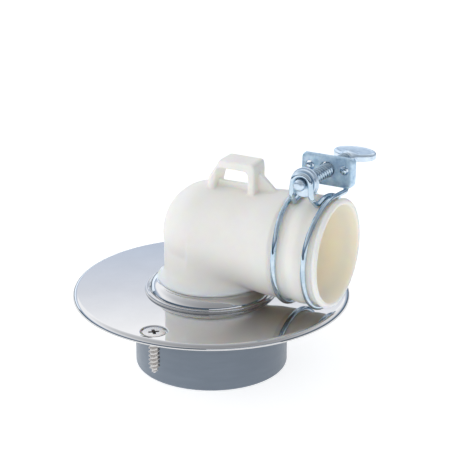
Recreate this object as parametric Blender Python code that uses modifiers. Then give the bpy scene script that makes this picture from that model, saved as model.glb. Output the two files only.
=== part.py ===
"""Washing-machine drain outlet for a floor: a polished plate with a screw-in collar, a pipe
adapter under it, a swivelling soft elbow and a wire hose clamp with a thumbscrew.

Units are metres. +Z is up along the swivel axis, +X points out of the outlet and -Y is the
front. The origin is the centre of the pipe adapter's bottom face.
"""

import math

import bmesh
import bpy
from mathutils import Vector

OBJECT_NAME = "washer_drain_outlet"
GAP = 0.0003

# Floor plate
PLATE_RADIUS = 0.060
PLATE_TOP = 0.0337
PLATE_SHEET = 0.0008
RIM_HEIGHT = 0.0022
PLATE_HOLE_RADIUS = 0.0235

# Floor screws, 4.8 x 20 countersunk tapping screws
SCREW_OFFSET = 0.0512
SCREW_SHIFT = 0.0010
SCREW_HEAD_RADIUS = 0.00475
SCREW_HEAD_EDGE = 0.00025
SCREW_HEAD_SINK = 0.00015
SCREW_THREAD_RADIUS = 0.0024
SCREW_ROOT_RADIUS = 0.0017
SCREW_PITCH = 0.0018
SCREW_THREAD_TURNS = 7
SCREW_LENGTH = 0.0188
COUNTERSINK_RADIUS = 0.0055
COUNTERSINK_DEPTH = 0.0021

# Collar ring, screwed through the plate into the adapter
COLLAR_BORE_RADIUS = 0.0205
COLLAR_THREAD_RADIUS = 0.0229
COLLAR_LIP_RADIUS = 0.0232
COLLAR_LIP_HEIGHT = 0.0049
COLLAR_GROOVE_RADIUS = 0.0264
COLLAR_GROOVE_HEIGHT = 0.0024
COLLAR_BEAD_RADIUS = 0.0275
COLLAR_BEAD_HEIGHT = 0.0015
COLLAR_BEAD_SECTION = 0.0016
COLLAR_SKIRT_DEPTH = 0.0200

# Pipe adapter, a socket over a drain pipe of 60 mm outside diameter
GASKET_THICKNESS = 0.0015
ADAPTER_RADIUS = 0.03305
ADAPTER_SOCKET_RADIUS = 0.0301
ADAPTER_WALL_TOP = 0.0040
ADAPTER_NECK_RADIUS = 0.0252
ADAPTER_NECK_DEPTH = 0.0190
ADAPTER_EDGE = 0.0008

# Elbow
AXIS_HEIGHT = 0.0267
RISER_RADIUS = 0.0202
RISER_BORE_RADIUS = 0.0163
FLARE_RADIUS = 0.0231
FLARE_HEIGHT = 0.0062
SPIGOT_RADIUS = 0.0196
SPIGOT_DEPTH = 0.0170
SEAL_DEPTH = 0.0090
SEAL_SECTION = 0.0009
SEAL_RADIUS = 0.0193
OUTLET_LENGTH = 0.0596
OUTLET_BORE_RADIUS = 0.0205
OUTLET_BORE_DEPTH = 0.0300
OUTLET_THROAT_RADIUS = 0.0172
OUTLET_EDGE = 0.0012
CUFF_START_RADIUS = 0.0225
CUFF_END_RADIUS = 0.0232
CUFF_SWELL = (0.0200, 0.0320)
CORNER_RADII = (0.0202, 0.0213, 0.0216)

# Lifting handle on the elbow
HANDLE_WIDTH = 0.0100
HANDLE_TOP = 0.0337
HANDLE_BAR = 0.0032
HANDLE_CORNER = 0.0012
GUSSET_WIDTH = 0.0022
RIB_TOP = 0.0233

# Wire hose clamp, in a frame on the outlet axis that is turned a little about it
CLAMP_X = 0.0476
CLAMP_TILT = math.radians(-2.3)
FEED_YAW = math.radians(1.0)
WIRE_RADIUS = 0.00115
WIRE_SEAT_RADIUS = 0.0220
WIRE_SEAT_GAP = 0.00015
WIRE_LOOP_OFFSET = 0.00675
WIRE_INNER_OFFSET = 0.0051
WIRE_OUTER_OFFSET = 0.0079
WIRE_HEAD_SCALE = 1.35
WIRE_END_OFFSET = 0.0078
WIRE_END_HEIGHT = 0.0322
FEED_HEIGHT = 0.0314
BRACKET_WIDTH = 0.0235
BRACKET_HEIGHT = 0.0134
BRACKET_MIDDLE = 0.0310
BRACKET_FRONT = 0.0114
BRACKET_SHEET = 0.0012
BRACKET_FLANGE = 0.0036
BRACKET_CORNER = 0.0026
BRACKET_HOLE_RADIUS = 0.0033
BRACKET_WIRE_HOLE_RADIUS = 0.0016

# Thrust bush and thumbscrew, along the feed axis: distances in front of the outlet's axis plane
BUSH_DISC_FRONT = 0.0114
BUSH_DISC_BACK = 0.0084
BUSH_DISC_RADIUS = 0.00615
BUSH_BOSS_RADIUS = 0.0025
BUSH_BOSS_FRONT = 0.0160
BUSH_COLLAR_BACK = 0.0066
BUSH_COLLAR_RADIUS = 0.0044
BUSH_BORE_RADIUS = 0.0025
BUSH_BORE_FRONT = 0.0109
THUMB_THREAD_RADIUS = 0.0030
THUMB_POINT_RADIUS = 0.0022
THUMB_POINT_FRONT = 0.0106
THUMB_NECK_START = 0.0300
THUMB_NECK_RADIUS = 0.0028
THUMB_BLADE_CENTRE = 0.0390
THUMB_BLADE_RADII = (0.0095, 0.0070)
THUMB_BLADE_THICKNESS = 0.0033

AXIS_Z = PLATE_TOP + AXIS_HEIGHT
PLATE_UNDERSIDE = PLATE_TOP - PLATE_SHEET
GASKET_TOP = PLATE_UNDERSIDE - GAP
GASKET_BOTTOM = GASKET_TOP - GASKET_THICKNESS
ADAPTER_TOP = GASKET_BOTTOM - GAP
WIRE_LOOP_RADIUS = WIRE_SEAT_RADIUS + WIRE_SEAT_GAP + WIRE_RADIUS


def clear_scene():
    for old in list(bpy.data.objects):
        bpy.data.objects.remove(old, do_unlink=True)


def new_collection(name):
    group = bpy.data.collections.new(name)
    bpy.context.scene.collection.children.link(group)
    return group


clear_scene()
PARTS = new_collection(OBJECT_NAME)
CUTTERS = new_collection("cutters")


def new_material(name, colour, roughness, metallic=0.0):
    material = bpy.data.materials.new(name)
    material.use_nodes = True
    shader = material.node_tree.nodes["Principled BSDF"]
    shader.inputs["Base Color"].default_value = (*colour, 1.0)
    shader.inputs["Roughness"].default_value = roughness
    shader.inputs["Metallic"].default_value = metallic
    return material


MIRROR_STEEL = new_material("mirror_steel", (0.80, 0.81, 0.83), 0.05, 1.0)
SCREW_STEEL = new_material("screw_steel", (0.70, 0.69, 0.67), 0.25, 1.0)
ZINC = new_material("zinc_plate", (0.66, 0.72, 0.78), 0.22, 1.0)
SOFT_PVC = new_material("soft_pvc", (0.86, 0.85, 0.80), 0.45)
GREY_PVC = new_material("grey_pvc", (0.17, 0.20, 0.24), 0.40)
RUBBER = new_material("rubber", (0.02, 0.02, 0.02), 0.70)


def add_object(name, data, material=None, cutter=False, parent=None):
    part = bpy.data.objects.new(name, data)
    group = CUTTERS if cutter else PARTS
    group.objects.link(part)
    part.parent = parent
    if material:
        data.materials.append(material)
    if cutter:
        part.hide_render = True
        part.display_type = "WIRE"
    return part


def add_turned(name, profile, steps, material=None, closed=False, cutter=False, parent=None):
    """Turn a profile of (radius, height) points about local Z."""
    mesh = bpy.data.meshes.new(name)
    points = [(radius, 0.0, height) for radius, height in profile]
    edges = [(i, i + 1) for i in range(len(points) - 1)]
    if closed:
        edges.append((len(points) - 1, 0))
    mesh.from_pydata(points, edges, [])
    part = add_object(name, mesh, material, cutter, parent)
    turn = part.modifiers.new("turn", "SCREW")
    turn.axis = "Z"
    turn.angle = math.tau
    turn.steps = steps
    turn.render_steps = steps
    turn.use_merge_vertices = True
    turn.merge_threshold = 0.00001
    turn.use_smooth_shade = True
    return part


def boolean(part, tool, operation):
    step = part.modifiers.new(operation.lower(), "BOOLEAN")
    step.operation = operation
    step.solver = "EXACT"
    step.object = tool


def arc(centre, radius, start, end, count):
    """Points of an arc about centre, with angles in degrees from +X."""
    angles = [math.radians(start + (end - start) * i / count) for i in range(count + 1)]
    return [(centre[0] + radius * math.cos(a), centre[1] + radius * math.sin(a)) for a in angles]


def add_bmesh(name, shape, material=None, cutter=False, parent=None):
    mesh = bpy.data.meshes.new(name)
    shape.to_mesh(mesh)
    shape.free()
    return add_object(name, mesh, material, cutter, parent)


def add_cylinder(name, radius, depth, steps, top_radius=None, cutter=True, parent=None):
    shape = bmesh.new()
    top = radius if top_radius is None else top_radius
    bmesh.ops.create_cone(shape, cap_ends=True, segments=steps, radius1=radius, radius2=top, depth=depth)
    return add_bmesh(name, shape, cutter=cutter, parent=parent)


def add_box(name, size, cutter=True, parent=None):
    shape = bmesh.new()
    bmesh.ops.create_cube(shape, size=1.0)
    bmesh.ops.scale(shape, vec=size, verts=shape.verts)
    return add_bmesh(name, shape, cutter=cutter, parent=parent)


def curve_to_mesh(name, curve_object, material=None, cutter=False):
    """Make a mesh object of a curve, with its caps welded on, and remove the curve."""
    bpy.context.view_layer.update()
    graph = bpy.context.evaluated_depsgraph_get()
    mesh = bpy.data.meshes.new_from_object(curve_object.evaluated_get(graph))
    mesh.name = name
    mesh.materials.clear()
    shape = bmesh.new()
    shape.from_mesh(mesh)
    bmesh.ops.remove_doubles(shape, verts=shape.verts, dist=0.000001)
    shape.to_mesh(mesh)
    shape.free()
    place = curve_object.matrix_world.copy()
    parent = curve_object.parent
    bpy.data.objects.remove(curve_object, do_unlink=True)
    part = add_object(name, mesh, material, cutter, parent)
    part.matrix_world = place
    return part


def add_outline(name, outlines, thickness):
    """A flat plate in the XZ plane from closed outlines of (x, z) points, centred on Y = 0."""
    curve = bpy.data.curves.new(name, "CURVE")
    curve.dimensions = "2D"
    curve.fill_mode = "BOTH"
    curve.extrude = thickness / 2
    for outline in outlines:
        spline = curve.splines.new("POLY")
        spline.points.add(len(outline) - 1)
        spline.use_cyclic_u = True
        for point, (x, z) in zip(spline.points, outline):
            point.co = (x, z, 0.0, 1.0)
    plate = add_object(name + "_curve", curve, cutter=True)
    plate.rotation_euler = (math.pi / 2, 0.0, 0.0)
    return curve_to_mesh(name, plate, cutter=True)


def rounded_corner(before, corner, after, radius, count):
    """Arc points that replace the corner of a path through three points."""
    back = (before - corner).normalized()
    onward = (after - corner).normalized()
    half = back.angle(onward) / 2
    middle = (back + onward).normalized()
    centre = corner + middle * (radius / math.sin(half))
    start = corner + back * (radius / math.tan(half)) - centre
    end = corner + onward * (radius / math.tan(half)) - centre
    sweep = math.pi - 2 * half
    turn_axis = start.cross(end).normalized()
    side = turn_axis.cross(start)
    angles = [sweep * i / count for i in range(count + 1)]
    return [centre + start * math.cos(a) + side * math.sin(a) for a in angles]


def ease(value):
    value = max(0.0, min(1.0, value))
    return value * value * (3 - 2 * value)


# ------------------------------------------------------------------ floor unit


def screw_place(side):
    """Where a floor screw stands on the plate: -1 is the front one and 1 the back one."""
    return -side * SCREW_SHIFT, side * SCREW_OFFSET


def make_floor_plate():
    bend = PLATE_RADIUS - RIM_HEIGHT
    profile = [(PLATE_HOLE_RADIUS, PLATE_TOP)]
    profile += arc((bend, PLATE_TOP - RIM_HEIGHT), RIM_HEIGHT, 90, 0, 5)
    profile += arc((bend, PLATE_TOP - RIM_HEIGHT), RIM_HEIGHT - PLATE_SHEET, 0, 90, 3)
    profile += [(PLATE_HOLE_RADIUS, PLATE_UNDERSIDE)]
    plate = add_turned("floor_plate", profile, 64, MIRROR_STEEL, closed=True)
    dimple_depth = COUNTERSINK_DEPTH
    for side in (-1, 1):
        dimple = add_cylinder(f"dimple_{side}", 0.0040, dimple_depth - 0.0001, 28, top_radius=0.0061)
        dimple.location = (*screw_place(side), PLATE_TOP - 0.0001 - (dimple_depth - 0.0001) / 2)
        boolean(plate, dimple, "UNION")
        reach = 0.0010
        sink = add_cylinder(
            f"countersink_{side}",
            COUNTERSINK_RADIUS - COUNTERSINK_DEPTH - reach,
            COUNTERSINK_DEPTH + 2 * reach,
            28,
            top_radius=COUNTERSINK_RADIUS + reach,
        )
        sink.location = (*screw_place(side), PLATE_TOP - COUNTERSINK_DEPTH / 2)
        boolean(plate, sink, "DIFFERENCE")


def make_plate_gasket():
    outer = ADAPTER_RADIUS - 0.0020
    profile = [
        (PLATE_HOLE_RADIUS, GASKET_TOP),
        (outer, GASKET_TOP),
        (outer, GASKET_BOTTOM),
        (PLATE_HOLE_RADIUS, GASKET_BOTTOM),
    ]
    add_turned("plate_gasket", profile, 48, RUBBER, closed=True)


def make_collar_ring():
    base = PLATE_TOP + GAP
    lip = PLATE_TOP + COLLAR_LIP_HEIGHT
    groove = PLATE_TOP + COLLAR_GROOVE_HEIGHT
    bottom = PLATE_TOP - COLLAR_SKIRT_DEPTH
    bead = (COLLAR_BEAD_RADIUS, PLATE_TOP + COLLAR_BEAD_HEIGHT)
    slope_middle = ((COLLAR_LIP_RADIUS + COLLAR_GROOVE_RADIUS) / 2 + 0.0005, (lip + groove) / 2 + 0.0004)
    profile = [
        (COLLAR_BORE_RADIUS + 0.0004, lip),
        (COLLAR_LIP_RADIUS, lip),
        slope_middle,
        (COLLAR_GROOVE_RADIUS, groove),
    ]
    profile += arc(bead, COLLAR_BEAD_SECTION, 125, -45, 7)
    profile += [
        (COLLAR_BEAD_RADIUS, base),
        (COLLAR_THREAD_RADIUS, base),
        (COLLAR_THREAD_RADIUS, bottom + 0.0008),
        (COLLAR_THREAD_RADIUS - 0.0008, bottom),
        (COLLAR_BORE_RADIUS, bottom),
        (COLLAR_BORE_RADIUS, lip - 0.0004),
    ]
    add_turned("collar_ring", profile, 56, MIRROR_STEEL, closed=True)


def make_pipe_adapter():
    wall_bottom = ADAPTER_TOP - ADAPTER_WALL_TOP
    neck_bottom = ADAPTER_TOP - ADAPTER_NECK_DEPTH
    thread = COLLAR_THREAD_RADIUS + GAP
    profile = [
        (thread, ADAPTER_TOP),
        (ADAPTER_RADIUS - ADAPTER_EDGE, ADAPTER_TOP),
        (ADAPTER_RADIUS, ADAPTER_TOP - ADAPTER_EDGE),
    ]
    profile += arc((ADAPTER_RADIUS - ADAPTER_EDGE, ADAPTER_EDGE), ADAPTER_EDGE, 0, -90, 2)
    profile += [
        (ADAPTER_SOCKET_RADIUS + ADAPTER_EDGE / 2, 0.0),
        (ADAPTER_SOCKET_RADIUS, ADAPTER_EDGE),
        (ADAPTER_SOCKET_RADIUS, wall_bottom),
        (ADAPTER_NECK_RADIUS, wall_bottom),
        (ADAPTER_NECK_RADIUS, neck_bottom),
        (thread, neck_bottom),
    ]
    add_turned("pipe_adapter", profile, 52, GREY_PVC, closed=True)


def make_floor_screw(name, side):
    """A tapping screw, its thread as rings, with a cross recess in its head."""
    head_top = -SCREW_HEAD_SINK
    cone_top = head_top - SCREW_HEAD_EDGE
    cone_bottom = cone_top - (SCREW_HEAD_RADIUS - SCREW_ROOT_RADIUS)
    profile = [
        (0.0, head_top),
        (SCREW_HEAD_RADIUS, head_top),
        (SCREW_HEAD_RADIUS, cone_top),
        (SCREW_ROOT_RADIUS, cone_bottom),
    ]
    for turn in range(SCREW_THREAD_TURNS):
        height = cone_bottom - SCREW_PITCH * (turn + 0.5)
        profile += [
            (SCREW_ROOT_RADIUS, height + SCREW_PITCH / 4),
            (SCREW_THREAD_RADIUS, height),
            (SCREW_ROOT_RADIUS, height - SCREW_PITCH / 4),
        ]
    profile += [(SCREW_ROOT_RADIUS * 0.9, -SCREW_LENGTH + 0.0028), (0.0, -SCREW_LENGTH)]
    screw = add_turned(name, profile, 16, SCREW_STEEL)
    screw.location = (*screw_place(side), PLATE_TOP)
    for turn in (0, 1):
        slot = add_box(f"{name}_slot_{turn}", (0.0040, 0.0010, 0.0036))
        slot.location = (*screw_place(side), PLATE_TOP)
        slot.rotation_euler = (0.0, 0.0, math.radians(20) + turn * math.pi / 2)
        boolean(screw, slot, "DIFFERENCE")


# ------------------------------------------------------------------ elbow


def outlet_radius(along):
    """Outer radius of the outlet tube at a distance from the swivel axis: it swells to a cuff."""
    swell_length = CUFF_SWELL[1] - CUFF_SWELL[0]
    swell = (CUFF_START_RADIUS - CORNER_RADII[1]) * ease((along - CUFF_SWELL[0]) / swell_length)
    taper = max(0.0, (along - CUFF_SWELL[1]) / (OUTLET_LENGTH - CUFF_SWELL[1]))
    return CORNER_RADII[1] + swell + (CUFF_END_RADIUS - CUFF_START_RADIUS) * taper


def riser_profile():
    seat = COLLAR_LIP_HEIGHT + GAP
    flare = FLARE_RADIUS - RISER_RADIUS
    rise = 0.0055
    groove_floor = SEAL_RADIUS - SEAL_SECTION - GAP
    groove_half = SEAL_SECTION + GAP
    profile = [(0.0, AXIS_HEIGHT), (RISER_RADIUS, AXIS_HEIGHT)]
    profile += [
        (RISER_RADIUS + flare * (1 - math.cos(a)), FLARE_HEIGHT + rise * (1 - math.sin(a)))
        for a in (math.radians(15 * i) for i in range(0, 7))
    ]
    profile += [
        (FLARE_RADIUS - 0.0002, seat),
        (SPIGOT_RADIUS, seat),
        (SPIGOT_RADIUS, -SEAL_DEPTH + groove_half),
        (groove_floor, -SEAL_DEPTH + groove_half),
        (groove_floor, -SEAL_DEPTH - groove_half),
        (SPIGOT_RADIUS, -SEAL_DEPTH - groove_half),
        (SPIGOT_RADIUS, -SPIGOT_DEPTH + 0.0010),
        (SPIGOT_RADIUS - 0.0010, -SPIGOT_DEPTH),
        (0.0, -SPIGOT_DEPTH),
    ]
    return [(radius, height + PLATE_TOP) for radius, height in profile]


def outlet_profile():
    """Outer profile of the outlet tube, with the two shallow seats of the wire loops."""
    seat_inner = WIRE_INNER_OFFSET - WIRE_RADIUS - GAP
    seat_outer = WIRE_OUTER_OFFSET + WIRE_RADIUS + GAP
    slope = 0.0008
    profile = [(0.0, OUTLET_LENGTH), (outlet_radius(OUTLET_LENGTH) - OUTLET_EDGE, OUTLET_LENGTH)]
    edge_centre = (outlet_radius(OUTLET_LENGTH) - OUTLET_EDGE, OUTLET_LENGTH - OUTLET_EDGE)
    profile += arc(edge_centre, OUTLET_EDGE, 60, 0, 2)
    for side in (1, -1):
        near, far = sorted((CLAMP_X + side * seat_inner, CLAMP_X + side * seat_outer))
        profile += [
            (outlet_radius(far + slope), far + slope),
            (WIRE_SEAT_RADIUS, far),
            (WIRE_SEAT_RADIUS, near),
            (outlet_radius(near - slope), near - slope),
        ]
    profile += [(outlet_radius(along), along) for along in (0.032, 0.029, 0.026, 0.023, 0.020, 0.0)]
    profile += [(0.0, 0.0)]
    return profile


def handle_outlines():
    """Outer and window outlines of the handle, in (x, z) from the outlet's axis."""
    top = HANDLE_TOP
    corner = HANDLE_CORNER
    root = 0.0190
    outer = [(0.0012, root), (0.0012, 0.0222), (0.0016, 0.0258)]
    outer += arc((0.0072, top - corner), corner, 150, 90, 3)
    outer += arc((0.0229 - corner, top - corner), corner, 90, 0, 3)
    outer += [(0.0231, root)]
    under = top - HANDLE_BAR
    window = [(0.0033, root - 0.0004), (0.0030, 0.0217), (0.0032, 0.0234)]
    window += arc((0.0062, under - 0.0006), 0.0006, 160, 90, 2)
    window += arc((0.0192, under - 0.0010), 0.0010, 90, 0, 3)
    window += [(0.0203, root - 0.0004)]
    return outer, window


def raised(loop):
    """The outline with its heights measured from the bottom of the part."""
    return [(x, z + AXIS_Z) for x, z in loop]


def make_handle():
    outer, window = handle_outlines()
    corner_radius = CORNER_RADII[2]
    floor = corner_radius - 0.0022
    window_loop = [(x, z) for x, z in window if z > floor]
    window_loop = [(window_loop[0][0], floor)] + window_loop + [(window_loop[-1][0], floor)]
    handle = add_outline("handle", [raised(outer), raised(window_loop)], HANDLE_WIDTH)
    rib = [(0.0020, 0.0190), (0.0020, RIB_TOP), (0.0226, RIB_TOP), (0.0226, 0.0292)]
    rib += [(0.0240, 0.0292), (0.0300, 0.0236), (0.0318, 0.0215), (0.0318, 0.0195)]
    gusset = add_outline("gusset", [raised(rib)], GUSSET_WIDTH)
    boolean(handle, gusset, "UNION")
    return handle


def make_elbow():
    elbow = add_turned("elbow", riser_profile(), 48, SOFT_PVC)

    outlet = add_turned("outlet_tube", outlet_profile(), 48, cutter=True)
    outlet.location = (0.0, 0.0, AXIS_Z)
    outlet.rotation_euler = (0.0, math.pi / 2, 0.0)
    boolean(elbow, outlet, "UNION")

    corner_shape = bmesh.new()
    bmesh.ops.create_uvsphere(corner_shape, u_segments=40, v_segments=20, radius=1.0)
    bmesh.ops.scale(corner_shape, vec=CORNER_RADII, verts=corner_shape.verts)
    corner = add_bmesh("corner_dome", corner_shape, cutter=True)
    corner.location = (0.0, 0.0, AXIS_Z)
    boolean(elbow, corner, "UNION")

    boolean(elbow, make_handle(), "UNION")

    throat_start = OUTLET_LENGTH - OUTLET_BORE_DEPTH
    bore_profile = [
        (0.0, OUTLET_LENGTH + 0.0010),
        (OUTLET_BORE_RADIUS + 0.0016, OUTLET_LENGTH + 0.0010),
        (OUTLET_BORE_RADIUS, OUTLET_LENGTH - 0.0006),
        (OUTLET_BORE_RADIUS, throat_start),
        (OUTLET_THROAT_RADIUS, throat_start - 0.0010),
        (OUTLET_THROAT_RADIUS, 0.0),
    ]
    bore_profile += [
        (OUTLET_THROAT_RADIUS * math.cos(a), -OUTLET_THROAT_RADIUS * math.sin(a))
        for a in (math.radians(15 * i) for i in range(1, 7))
    ]
    bore = add_turned("outlet_bore", bore_profile, 48, cutter=True)
    bore.location = (0.0, 0.0, AXIS_Z)
    bore.rotation_euler = (0.0, math.pi / 2, 0.0)
    boolean(elbow, bore, "DIFFERENCE")

    duct_bottom = PLATE_TOP - SPIGOT_DEPTH - 0.0010
    duct = add_cylinder("riser_duct", RISER_BORE_RADIUS, AXIS_Z - duct_bottom, 40)
    duct.location = (0.0, 0.0, (AXIS_Z + duct_bottom) / 2)
    boolean(elbow, duct, "DIFFERENCE")


def make_elbow_seal():
    section = arc((SEAL_RADIUS, PLATE_TOP - SEAL_DEPTH), SEAL_SECTION, 90, -225, 7)
    add_turned("elbow_seal", section, 40, RUBBER, closed=True)


# ------------------------------------------------------------------ hose clamp


def loop_offset(angle):
    """Distance of the wire from the clamp's middle, by its angle round the outlet in degrees."""
    leaving = ease((angle - 110) / 60)
    returning = ease((angle - 320) / 90)
    offset = WIRE_OUTER_OFFSET + (WIRE_LOOP_OFFSET - WIRE_OUTER_OFFSET) * leaving
    return offset + (WIRE_INNER_OFFSET - WIRE_LOOP_OFFSET) * returning


def on_loop(angle):
    turn = math.radians(angle)
    return Vector((loop_offset(angle), WIRE_LOOP_RADIUS * math.cos(turn), WIRE_LOOP_RADIUS * math.sin(turn)))


def wire_half_path():
    """One half of the wire: from its end in the bracket, round the outlet, up to the hook's top."""
    hook_radius = BUSH_BOSS_RADIUS + GAP + WIRE_RADIUS
    hook_front = -(BUSH_DISC_FRONT + GAP + WIRE_RADIUS)
    end = Vector((WIRE_END_OFFSET, BRACKET_FRONT - 0.0012, WIRE_END_HEIGHT))
    behind = Vector((WIRE_END_OFFSET, BRACKET_FRONT + 0.0031, WIRE_END_HEIGHT))
    under = Vector((WIRE_OUTER_OFFSET, behind.y, BRACKET_MIDDLE - BRACKET_HEIGHT / 2 - 0.0017))
    head_back = end + Vector((0.0, 0.0008, 0.0))
    neck = head_back + Vector((0.0, 0.0002, 0.0))
    climb = on_loop(470)
    knee = Vector((hook_radius + 0.0005, hook_front, 0.0262))
    hook_start = Vector((hook_radius, hook_front, FEED_HEIGHT))

    path = [end, head_back, neck]
    path += rounded_corner(end, behind, under, 0.0017, 4)
    path += rounded_corner(behind, under, on_loop(88), 0.0017, 4)
    path += [on_loop(88 + 10 * i) for i in range(38)]
    path += rounded_corner(on_loop(458), climb, knee, 0.0014, 4)
    path += rounded_corner(climb, knee, hook_start, 0.0030, 2)
    for i in range(6):
        turn = math.radians(18 * i)
        side = hook_radius * math.cos(turn)
        path.append(Vector((side, hook_front, FEED_HEIGHT + hook_radius * math.sin(turn))))
    return path


def make_clamp_wire(frame):
    half = wire_half_path()
    hook_top = Vector((0.0, half[-1].y, FEED_HEIGHT + BUSH_BOSS_RADIUS + GAP + WIRE_RADIUS))
    path = half + [hook_top] + [Vector((-p.x, p.y, p.z)) for p in reversed(half)]
    curve = bpy.data.curves.new("clamp_wire", "CURVE")
    curve.dimensions = "3D"
    curve.bevel_depth = WIRE_RADIUS
    curve.bevel_resolution = 2
    curve.use_fill_caps = True
    spline = curve.splines.new("POLY")
    spline.points.add(len(path) - 1)
    for point, place in zip(spline.points, path):
        point.co = (*place, 1.0)
    for number in (0, 1, -1, -2):
        spline.points[number].radius = WIRE_HEAD_SCALE
    wire = add_object("clamp_wire_curve", curve, parent=frame)
    curve_to_mesh("clamp_wire", wire, ZINC)


def make_clamp_bracket(frame):
    """A channel of sheet: a web across the clamp, with its two sides bent back."""
    half_width = BRACKET_WIDTH / 2
    half_height = BRACKET_HEIGHT / 2
    outline = []
    for start in (0, 90, 180, 270):
        middle = math.radians(start + 45)
        centre = (
            math.copysign(half_width - BRACKET_CORNER, math.cos(middle)),
            math.copysign(half_height - BRACKET_CORNER, math.sin(middle)),
        )
        outline += arc(centre, BRACKET_CORNER, start, start + 90, 3)
    shape = bmesh.new()
    loop = [shape.verts.new((x, 0.0, z)) for x, z in outline]
    face = shape.faces.new(loop)
    swept = bmesh.ops.extrude_face_region(shape, geom=[face])
    moved = [v for v in swept["geom"] if isinstance(v, bmesh.types.BMVert)]
    bmesh.ops.translate(shape, verts=moved, vec=(0.0, BRACKET_FLANGE, 0.0))
    bmesh.ops.recalc_face_normals(shape, faces=shape.faces)
    bracket = add_bmesh("clamp_bracket", shape, ZINC, parent=frame)
    bracket.location = (0.0, BRACKET_FRONT, BRACKET_MIDDLE)

    hollow_depth = BRACKET_FLANGE
    hollow_width = BRACKET_WIDTH - 2 * BRACKET_SHEET
    hollow = add_box("bracket_hollow", (hollow_width, hollow_depth, 0.0300), parent=frame)
    hollow.location = (0.0, BRACKET_FRONT + BRACKET_SHEET + hollow_depth / 2, BRACKET_MIDDLE)
    boolean(bracket, hollow, "DIFFERENCE")

    collar = add_cylinder("bracket_collar", BRACKET_HOLE_RADIUS + 0.0012, 0.0030, 28, parent=frame)
    collar.rotation_euler = (math.pi / 2, 0.0, 0.0)
    collar.location = (0.0, BRACKET_FRONT + 0.0003 + 0.0015, FEED_HEIGHT)
    boolean(bracket, collar, "UNION")

    holes = [(0.0, FEED_HEIGHT, BRACKET_HOLE_RADIUS)]
    holes += [(side * WIRE_END_OFFSET, WIRE_END_HEIGHT, BRACKET_WIRE_HOLE_RADIUS) for side in (-1, 1)]
    for number, (x, z, radius) in enumerate(holes):
        hole = add_cylinder(f"bracket_hole_{number}", radius, 0.0120, 24, parent=frame)
        hole.rotation_euler = (math.pi / 2, 0.0, 0.0)
        hole.location = (x, BRACKET_FRONT + 0.0020, z)
        boolean(bracket, hole, "DIFFERENCE")


def make_thrust_bush(feed):
    boss_round = 0.0011
    profile = [(0.0, BUSH_BOSS_FRONT)]
    profile += arc((BUSH_BOSS_RADIUS - boss_round, BUSH_BOSS_FRONT - boss_round), boss_round, 90, 0, 3)
    profile += [
        (BUSH_BOSS_RADIUS, BUSH_DISC_FRONT),
        (BUSH_DISC_RADIUS - 0.0002, BUSH_DISC_FRONT),
        (BUSH_DISC_RADIUS, BUSH_DISC_FRONT - 0.0002),
        (BUSH_DISC_RADIUS, BUSH_DISC_BACK + 0.0002),
        (BUSH_DISC_RADIUS - 0.0002, BUSH_DISC_BACK),
        (BUSH_COLLAR_RADIUS, BUSH_DISC_BACK),
        (BUSH_COLLAR_RADIUS, BUSH_COLLAR_BACK),
        (BUSH_BORE_RADIUS, BUSH_COLLAR_BACK),
        (BUSH_BORE_RADIUS, BUSH_BORE_FRONT),
        (0.0, BUSH_BORE_FRONT),
    ]
    add_turned("thrust_bush", profile, 32, ZINC, parent=feed)


def make_thumbscrew(feed):
    """A screw along the feed axis that ends in a flat oval thumb piece."""
    point_back = BUSH_COLLAR_BACK - GAP
    blade_near = -(THUMB_BLADE_CENTRE - THUMB_BLADE_RADII[1] + 0.0012)
    profile = [
        (0.0, THUMB_POINT_FRONT),
        (THUMB_POINT_RADIUS, THUMB_POINT_FRONT),
        (THUMB_POINT_RADIUS, point_back),
        (THUMB_THREAD_RADIUS - 0.0004, point_back),
        (THUMB_THREAD_RADIUS, point_back - 0.0005),
        (THUMB_THREAD_RADIUS, -THUMB_NECK_START),
        (THUMB_NECK_RADIUS, -THUMB_NECK_START - 0.0015),
        (THUMB_NECK_RADIUS, blade_near),
        (0.0015, blade_near - 0.0050),
        (0.0, blade_near - 0.0050),
    ]
    screw = add_turned("thumbscrew", profile, 32, ZINC, parent=feed)
    shape = bmesh.new()
    thickness = THUMB_BLADE_THICKNESS
    bmesh.ops.create_cone(shape, cap_ends=True, segments=40, radius1=1.0, radius2=1.0, depth=thickness)
    bmesh.ops.scale(shape, vec=(*THUMB_BLADE_RADII, 1.0), verts=shape.verts)
    blade = add_bmesh("thumb_blade", shape, cutter=True, parent=feed)
    blade.rotation_euler = (-math.pi / 2, 0.0, 0.0)
    blade.location = (0.0, 0.0, -THUMB_BLADE_CENTRE)
    soften = blade.modifiers.new("soften", "BEVEL")
    soften.width = 0.0009
    soften.segments = 2
    soften.limit_method = "ANGLE"
    boolean(screw, blade, "UNION")


def make_empty(name, location, rotation_x, parent=None):
    empty = bpy.data.objects.new(name, None)
    PARTS.objects.link(empty)
    empty.parent = parent
    empty.location = location
    empty.rotation_euler = (rotation_x, 0.0, 0.0)
    return empty


def make_clamp():
    frame = make_empty("clamp_axis", (CLAMP_X, 0.0, AXIS_Z), CLAMP_TILT)
    feed = make_empty("feed_axis", (0.0, 0.0, FEED_HEIGHT), math.pi / 2, parent=frame)
    feed.rotation_euler.z = -FEED_YAW
    make_clamp_wire(frame)
    make_clamp_bracket(frame)
    make_thrust_bush(feed)
    make_thumbscrew(feed)


make_floor_plate()
make_plate_gasket()
make_collar_ring()
make_pipe_adapter()
make_floor_screw("floor_screw_front", -1)
make_floor_screw("floor_screw_back", 1)
make_elbow()
make_elbow_seal()
make_clamp()
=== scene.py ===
"""Washing-machine drain outlet: the visual model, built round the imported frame.

Units are metres, in the frame of the CAD: +Z up the swivel axis, +X out of the elbow's outlet,
-Y the side that the clamp's hook faces, origin at the centre of the pipe adapter's bottom face.
"""

import math

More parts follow.
